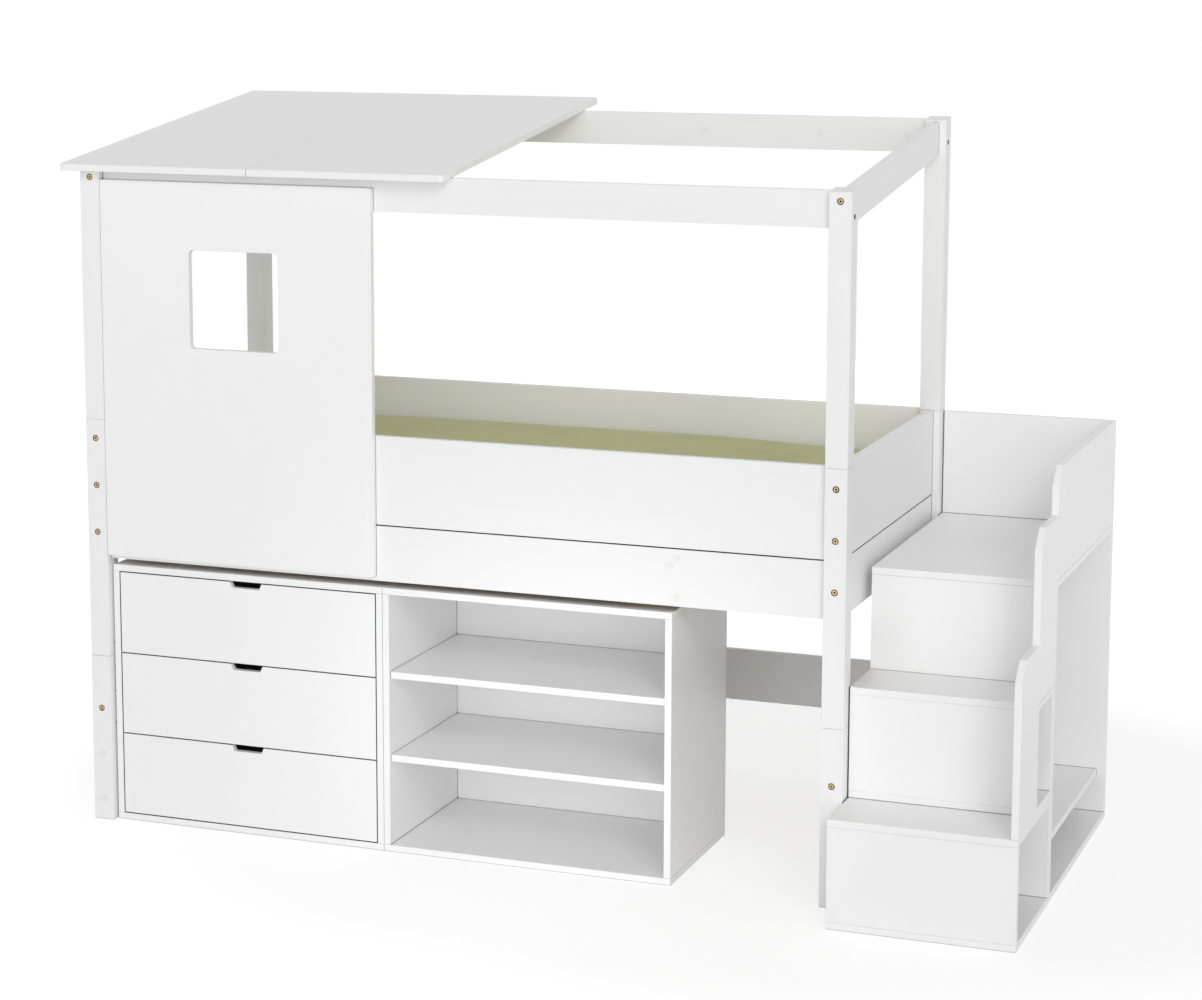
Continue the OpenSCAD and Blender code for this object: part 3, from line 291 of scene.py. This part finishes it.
FOIL_EASING = 0.0005
foil_board = lacquered_board("white foil on hardboard", "#fafafa", "#f8f8f8", 0.5, 0.62)
for node in ("chest_back", "shelf_unit_back"):
    finish_board(node, node + "_foiled", foil_board, FOIL_EASING)


# ---- Drawers -------------------------------------------------------------------------------------
# Three lacquered fronts with a machined grip notch, each on a lacquered tray with a hardboard
# bottom that hangs in powder-coated steel runners.

TRAY_EASING = 0.0008
SHEET_EASING = 0.0003

runner_steel, tree, place = start_material("powder coated runner steel")
# Powder coat dries in a peel of about 2 mm on the folded sheet.
grit = add(tree, "ShaderNodeTexNoise", {"Vector": place, "Scale": 500.0, "Detail": 2.0})
coat_shade = add(tree, "ShaderNodeMix", {"Factor": grit.outputs["Fac"], "A": linear("#d9d9d7"),
                                         "B": linear("#e2e2e0")}, data_type="RGBA")
coat_bump = add(tree, "ShaderNodeBump", {"Height": grit.outputs["Fac"], "Strength": 0.3,
                                         "Distance": 0.0002})
end_material(tree, Base_Color=coat_shade.outputs["Result"], Roughness=0.48,
             Normal=coat_bump.outputs["Normal"], IOR=1.5)
for number in ("1", "2", "3"):
    drawer = "drawer_" + number
    finish_board("drawer_front_" + number, drawer + "_front_lacquered", white_board, BOARD_EASING,
                 body=drawer)
    finish_board("drawer_tray_" + number, drawer + "_tray_lacquered", white_board, TRAY_EASING,
                 body=drawer)
    finish_board("drawer_runners_" + number, drawer + "_runners_coated", runner_steel, SHEET_EASING,
                 body=drawer)
finish_board("runner_channels", "runner_channels_coated", runner_steel, SHEET_EASING)


# ---- Fittings ------------------------------------------------------------------------------------
# Brass-plated sleeve nuts with a hexagon socket show in the posts' faces. The bolts behind them
# are blackened steel, and the barrel nuts and screws zinc-plated.

NUT_EASING = 0.0004
BOLT_EASING = 0.0003
SCREW_EASING = 0.0002
CAP_EASING = 0.0004
NUT_RADIUS = 0.0085


def turned_metal(name, pale, deep, rough_low, rough_high, streak, metallic=1.0, ior=1.5):
    """Plated or blackened metal: fine turning marks, and a finish that is slightly cloudy."""
    material, tree, place = start_material(name)
    cloud = add(tree, "ShaderNodeTexNoise", {"Vector": place, "Scale": 260.0, "Detail": 3.0})
    # Turning marks are about 0.1 mm apart, drawn at 1 mm so that they show.
    marks = add(tree, "ShaderNodeTexNoise", {"Vector": place, "Scale": 1000.0, "Detail": 2.0})
    shade = add(tree, "ShaderNodeMix", {"Factor": cloud.outputs["Fac"], "A": linear(deep),
                                        "B": linear(pale)}, data_type="RGBA")
    bump = add(tree, "ShaderNodeBump", {"Height": marks.outputs["Fac"], "Strength": streak,
                                        "Distance": 0.0002})
    worn = add(tree, "ShaderNodeMapRange", {"Value": cloud.outputs["Fac"], "To Min": rough_low,
                                            "To Max": rough_high})
    end_material(tree, Base_Color=shade.outputs["Result"], Roughness=worn.outputs["Result"],
                 Normal=bump.outputs["Normal"], Metallic=metallic, IOR=ior)
    return material


# Brass with painted shade in the hexagon socket and at the rim, and a painted highlight ring
# between.
brass, tree, place = start_material("brass plated sleeve nut")
reach = add(tree, "ShaderNodeAttribute", {}, attribute_name="from_axis")
share = add(tree, "ShaderNodeMapRange", {"Value": reach.outputs["Fac"], "From Max": NUT_RADIUS})
nut_shade_and_highlight = add(tree, "ShaderNodeValToRGB", {"Fac": share.outputs["Result"]})
stops = nut_shade_and_highlight.color_ramp.elements
stops[0].position = 0.34
stops[0].color = linear("#2b200b")
stops[1].position = 1.0
stops[1].color = linear("#463a26")
for position, colour in ((0.4, "#e7d3a2"), (0.62, "#d9c391"), (0.78, "#998762"), (0.9, "#5d5038")):
    stops.new(position).color = linear(colour)
# Turning marks are about 0.1 mm apart, drawn at 1 mm so that they show.
marks = add(tree, "ShaderNodeTexNoise", {"Vector": place, "Scale": 1000.0, "Detail": 2.0})
marks_bump = add(tree, "ShaderNodeBump", {"Height": marks.outputs["Fac"], "Strength": 0.3,
                                          "Distance": 0.0002})
rubbed = add(tree, "ShaderNodeMapRange", {"Value": marks.outputs["Fac"], "To Min": 0.36,
                                          "To Max": 0.52})
end_material(tree, Base_Color=nut_shade_and_highlight.outputs["Color"], Roughness=rubbed.outputs["Result"],
             Normal=marks_bump.outputs["Normal"], Metallic=1.0)
# The bolts' black oxide is a porous skin that drinks in light, so it is no bare metal to the eye.
black_steel = turned_metal("blackened bolt steel", "#141415", "#0c0c0d", 0.5, 0.65, 0.2,
                           metallic=0.0, ior=1.12)
zinc = turned_metal("zinc plated steel", "#c3c6ca", "#9ea2a6", 0.3, 0.45, 0.25)
nuts = finish_board("sleeve_nuts", "sleeve_nuts_brass", brass, NUT_EASING,
                    bores=True)
edit = bmesh.new()
edit.from_mesh(nuts.data)
from_axis = edit.verts.layers.float.new("from_axis")
unread = set(edit.verts)
while unread:
    # One nut after another: all the corners that its edges join. Its axis runs along Y.
    fringe = [unread.pop()]
    nut = set(fringe)
    while fringe:
        corner = fringe.pop()
        near = {edge.other_vert(corner) for edge in corner.link_edges} - nut
        nut |= near
        fringe += near
    unread -= nut
    across = [corner.co.x for corner in nut]
    up = [corner.co.z for corner in nut]
    axis = Vector(((min(across) + max(across)) / 2, 0, (min(up) + max(up)) / 2))
    for corner in nut:
        corner[from_axis] = (Vector((corner.co.x, 0, corner.co.z)) - axis).length
edit.to_mesh(nuts.data)
edit.free()
finish_board("frame_bolts", "frame_bolts_black", black_steel, BOLT_EASING,
             bores=True)
finish_board("barrel_nuts", "barrel_nuts_zinc", zinc, NUT_EASING)
finish_board("wood_screws", "wood_screws_zinc", zinc, SCREW_EASING, bores=True)

# Cover caps are moulded in white polyethylene, a little duller than the lacquer round them.
cap_plastic, tree, place = start_material("moulded white polyethylene")
flow = add(tree, "ShaderNodeTexNoise", {"Vector": place, "Scale": 120.0, "Detail": 2.0})
cap_shade = add(tree, "ShaderNodeMix", {"Factor": flow.outputs["Fac"], "A": linear("#f1f1ef"),
                                        "B": linear("#f5f5f4")}, data_type="RGBA")
cap_rough = add(tree, "ShaderNodeMapRange", {"Value": flow.outputs["Fac"], "To Min": 0.42,
                                             "To Max": 0.52})
# The cap's rim and the lacquer round it get painted shade in their base colour.
end_material(tree, Base_Color=painted_joint_shade(tree, cap_shade.outputs["Result"]),
             Roughness=cap_rough.outputs["Result"], IOR=1.5)
finish_board("cover_caps", "cover_caps_moulded", cap_plastic, CAP_EASING,
             bores=True)

# Dowels are turned beech with fine pores along the stem.
beech, tree, place = start_material("turned beech dowel")
pores = add(tree, "ShaderNodeTexNoise", {"Vector": place, "Scale": 700.0, "Detail": 3.0})
dowel_shade = add(tree, "ShaderNodeMix", {"Factor": pores.outputs["Fac"], "A": linear("#b98a5c"),
                                          "B": linear("#d3a878")}, data_type="RGBA")
end_material(tree, Base_Color=dowel_shade.outputs["Result"], Roughness=0.7, IOR=1.45)
coat(nodes["wood_dowels"].data, beech)


# ---- Mattress ------------------------------------------------------------------------------------
# A foam core in a zipped cover of sage green cotton with a short brushed pile. Both edges of the
# border are piped, and the cover puffs a little between the two seams.

# The top is crowned, so the sides are lower than the box. The seams lie at shares of their height
# and hold the cloth, which lies flat underneath and blows up from a slightly shrunken core.
CROWN = 0.036
SEAM_SHARES = (0.1, 0.93)
SEAM_HALF = 0.008
SEAM_DEPTH = 0.03
FLAT_UNDERNEATH = 0.008
VOXEL = 0.011
ROOM_TO_PUFF = 0.003
LARGEST_PUFF = 0.006
PUFF_FRAMES = 20
low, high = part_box("mattress")
side_height = high.z - low.z - CROWN
seam_levels = [low.z + share * side_height for share in SEAM_SHARES]

cover = begin_piece("mattress_cover", nodes["mattress"].data.copy())
bpy.ops.mesh.remove_doubles(threshold=HAIR)
bpy.ops.transform.shrink_fatten(value=-ROOM_TO_PUFF)
bpy.ops.object.mode_set(mode="OBJECT")
bpy.ops.object.modifier_add(type="REMESH")
cover.modifiers[-1].mode = "VOXEL"
cover.modifiers[-1].voxel_size = VOXEL
bpy.ops.object.modifier_apply(modifier=cover.modifiers[-1].name)

held = cover.vertex_groups.new(name="held at the seams and underneath")
for vertex in cover.data.vertices:
    spot = vertex.co
    inside = min(spot.x - low.x, high.x - spot.x, spot.y - low.y, high.y - spot.y)
    at_level = any(abs(spot.z - level) < SEAM_HALF for level in seam_levels)
    if (inside < SEAM_DEPTH and at_level) or spot.z < low.z + FLAT_UNDERNEATH:
        held.add([vertex.index], 1.0, "REPLACE")

before = [vertex.co.copy() for vertex in cover.data.vertices]
bpy.ops.object.modifier_add(type="CLOTH")
cloth = cover.modifiers[-1]
cloth.settings.quality = 5
cloth.settings.mass = 0.4
cloth.settings.tension_stiffness = 12
cloth.settings.compression_stiffness = 12
cloth.settings.shear_stiffness = 5
cloth.settings.bending_stiffness = 0.6
cloth.settings.use_pressure = True
cloth.settings.uniform_pressure_force = 3.0
cloth.settings.vertex_group_mass = held.name
cloth.settings.effector_weights.gravity = 0
cloth.point_cache.frame_start = 1
cloth.point_cache.frame_end = PUFF_FRAMES
for step in range(1, PUFF_FRAMES + 1):
    bpy.context.scene.frame_set(step)
bpy.ops.object.modifier_apply(modifier=cloth.name)
for vertex, start in zip(cover.data.vertices, before):
    move = vertex.co - start
    if move.length > LARGEST_PUFF:
        vertex.co = start + move * (LARGEST_PUFF / move.length)
bpy.ops.object.modifier_add(type="SMOOTH")
cover.modifiers[-1].iterations = 4
bpy.ops.object.modifier_apply(modifier=cover.modifiers[-1].name)
bpy.ops.object.shade_smooth()

cloth_cover, tree, place = start_material("brushed cotton mattress cover")
# The brushed pile clumps in tufts of 4 to 6 mm over a weave of about 1 mm.
tufts = add(tree, "ShaderNodeTexNoise", {"Vector": place, "Scale": 210.0, "Detail": 4.0,
                                         "Roughness": 0.65})
clouds = add(tree, "ShaderNodeTexNoise", {"Vector": place, "Scale": 14.0, "Detail": 2.0})
mottle = add(tree, "ShaderNodeMath", {0: clouds.outputs["Fac"], 1: 0.25, 2: tufts.outputs["Fac"]},
             operation="MULTIPLY_ADD")
pile = add(tree, "ShaderNodeMapRange", {"Value": mottle.outputs["Value"], "From Min": 0.42,
                                        "From Max": 0.82})
sage = add(tree, "ShaderNodeMix", {"Factor": pile.outputs["Result"], "A": linear("#bbba7a"),
                                   "B": linear("#d6d59e")}, data_type="RGBA")
weave = add(tree, "ShaderNodeTexNoise", {"Vector": place, "Scale": 900.0, "Detail": 3.0})
nap = add(tree, "ShaderNodeMath", {0: tufts.outputs["Fac"], 1: weave.outputs["Fac"]},
          operation="ADD")
nap_bump = add(tree, "ShaderNodeBump", {"Height": nap.outputs["Value"], "Strength": 0.7,
                                        "Distance": 0.0015})
end_material(tree, Base_Color=sage.outputs["Result"], Roughness=0.92,
             Normal=nap_bump.outputs["Normal"], Sheen_Weight=0.25, Sheen_Roughness=0.5, IOR=1.4)
coat(cover.data, cloth_cover)
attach(cover, "bed")
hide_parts("mattress")

# Piping of the same cloth, sewn round a 5 mm cord into both edges of the border.
PIPING_RADIUS = 0.0032
PIPING_INSET = 0.010
PIPING_CORNER = 0.040
for level, label in zip(seam_levels, ("lower", "upper")):
    bpy.ops.object.select_all(action="DESELECT")
    middle = ((low.x + high.x) / 2, (low.y + high.y) / 2, level)
    bpy.ops.mesh.primitive_plane_add(size=1, location=middle)
    piping = bpy.context.active_object
    piping.name = "mattress_piping_" + label
    piping.scale = (high.x - low.x - 2 * PIPING_INSET, high.y - low.y - 2 * PIPING_INSET, 1)
    bpy.ops.object.transform_apply(location=True, rotation=True, scale=True)
    bpy.ops.object.mode_set(mode="EDIT")
    bpy.ops.mesh.select_all(action="SELECT")
    bpy.ops.mesh.bevel(offset=PIPING_CORNER, offset_type="OFFSET", segments=10, affect="VERTICES")
    bpy.ops.mesh.select_all(action="SELECT")
    bpy.ops.mesh.delete(type="ONLY_FACE")
    bpy.ops.object.mode_set(mode="OBJECT")
    bpy.ops.object.convert(target="CURVE")
    piping.data.bevel_depth = PIPING_RADIUS
    piping.data.bevel_resolution = 3
    bpy.ops.object.convert(target="MESH")
    piping = bpy.context.active_object
    bpy.ops.object.shade_smooth()
    coat(piping.data, cloth_cover)
    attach(piping, "bed")


# ---- Studio --------------------------------------------------------------------------------------
# A white floor that fades into a white surround, a soft sky that is brightest low in front, a wide
# key lamp from the front right, and a small low one that fills the open shelves below the bed.

FLOOR_RADIUS = 9.0
SHADE_LENGTH = 3.2
SHADE_WIDTH = 2.6
FLOOR_GLOW = 1.18


def is_looked_at(tree):
    """1 for what the camera sees, straight, mirrored or through glass, and 0 for bounced light."""
    ray = tree.nodes.new("ShaderNodeLightPath").outputs
    seen = ray["Is Camera Ray"]
    for kind in ("Is Glossy Ray", "Is Transmission Ray"):
        either = add(tree, "ShaderNodeMath", {0: seen, 1: ray[kind]}, operation="MAXIMUM")
        seen = either.outputs["Value"]
    return seen


bpy.ops.object.select_all(action="DESELECT")
bpy.ops.mesh.primitive_circle_add(vertices=96, radius=FLOOR_RADIUS, fill_type="NGON",
                                  location=(0, 0, 0))
floor = bpy.context.active_object
floor.name = "studio_floor"
floor_paint, tree, place = start_material("matt white studio floor")
# Shadows show most in an oval round the bed, and the floor fades from it into the surround.
oval = add(tree, "ShaderNodeMapping", {"Vector": place, "Location": (-0.12, -0.10, 0),
                                       "Scale": (1 / SHADE_LENGTH, 1 / SHADE_WIDTH, 1)})
nearness = add(tree, "ShaderNodeTexGradient", {"Vector": oval.outputs["Vector"]},
               gradient_type="SPHERICAL")
fade = add(tree, "ShaderNodeMapRange", {"Value": nearness.outputs["Fac"], "From Min": 0.1,
                                        "From Max": 0.5, "To Min": 1.0, "To Max": 0.6})
lit = add(tree, "ShaderNodeMath", {0: is_looked_at(tree), 1: fade.outputs["Result"]},
          operation="MULTIPLY")
paint = add(tree, "ShaderNodeBsdfDiffuse", {"Color": linear("#f6f6f6")})
glow = add(tree, "ShaderNodeEmission", {"Color": linear("#ffffff"), "Strength": FLOOR_GLOW})
mixed = add(tree, "ShaderNodeMixShader", {0: lit.outputs["Value"], 1: paint.outputs["BSDF"],
                                          2: glow.outputs["Emission"]})
add(tree, "ShaderNodeOutputMaterial", {"Surface": mixed.outputs["Shader"]})
floor.data.materials.append(floor_paint)

# The sky's light comes mostly from one broad lobe in front, a little to the right and above the
# horizon. The rest of it is even and about half as strong as a plain white surround.
LOBE_HEADING = (0.372, -0.921, 0.122)
LOBE_FALLOFF = 9.0
LOBE_STRENGTH = 2.08
EVEN_STRENGTH = 0.475
world = bpy.data.worlds.new("white surround")
world.use_nodes = True
tree = world.node_tree
tree.nodes.clear()
outwards = tree.nodes.new("ShaderNodeTexCoord").outputs["Generated"]
heading = add(tree, "ShaderNodeVectorMath", {0: outwards, 1: LOBE_HEADING},
              operation="DOT_PRODUCT")
facing = add(tree, "ShaderNodeMath", {0: heading.outputs["Value"], 1: 0.0}, operation="MAXIMUM")
lobe = add(tree, "ShaderNodeMath", {0: facing.outputs["Value"], 1: LOBE_FALLOFF},
           operation="POWER")
strength = add(tree, "ShaderNodeMath", {0: lobe.outputs["Value"], 1: LOBE_STRENGTH,
                                        2: EVEN_STRENGTH}, operation="MULTIPLY_ADD")
sky = add(tree, "ShaderNodeBackground", {"Color": linear("#ffffff"),
                                         "Strength": strength.outputs["Value"]})
surround = add(tree, "ShaderNodeBackground", {"Color": linear("#ffffff"), "Strength": 1.0})
mixed = add(tree, "ShaderNodeMixShader", {0: is_looked_at(tree), 1: sky.outputs["Background"],
                                          2: surround.outputs["Background"]})
add(tree, "ShaderNodeOutputWorld", {"Surface": mixed.outputs["Shader"]})
bpy.context.scene.world = world


def lamp(name, place, aim, width, height, power):
    """Hangs a soft box at a place, turned to face a point."""
    light = bpy.data.lights.new(name, "AREA")
    light.shape = "RECTANGLE"
    light.size = width
    light.size_y = height
    light.energy = power
    holder = bpy.data.objects.new(name, light)
    holder.location = place
    holder.rotation_euler = (Vector(aim) - Vector(place)).to_track_quat("-Z", "Y").to_euler()
    bpy.context.collection.objects.link(holder)
    return holder


lamp("key soft box", place=(11.9, -17.0, 12.8), aim=(0, 0, 0.8), width=6.0, height=6.0, power=700)
low_box = lamp("low soft box", place=(0.1, -1.7, 0.34), aim=(0.1, 0, 0.34), width=0.7, height=0.4,
               power=0.8)
low_box.data.spread = radians(75)
low_box.visible_camera = False

# The camera stands in front and to the right of the bed, and looks left and a little down.
CAMERA_PITCH = 0.14956
CAMERA_TURN = 0.37087
camera = bpy.data.objects.new("camera", bpy.data.cameras.new("camera"))
camera.location = (2.62699, -7.11988, 2.35877)
camera.rotation_euler = (pi / 2 - CAMERA_PITCH, 0, CAMERA_TURN)
camera.data.sensor_width = 36
camera.data.lens = 86.16
camera.data.shift_x = 0.05
camera.data.shift_y = -0.10
bpy.context.collection.objects.link(camera)
bpy.context.scene.camera = camera
bpy.context.scene.view_settings.view_transform = "Standard"
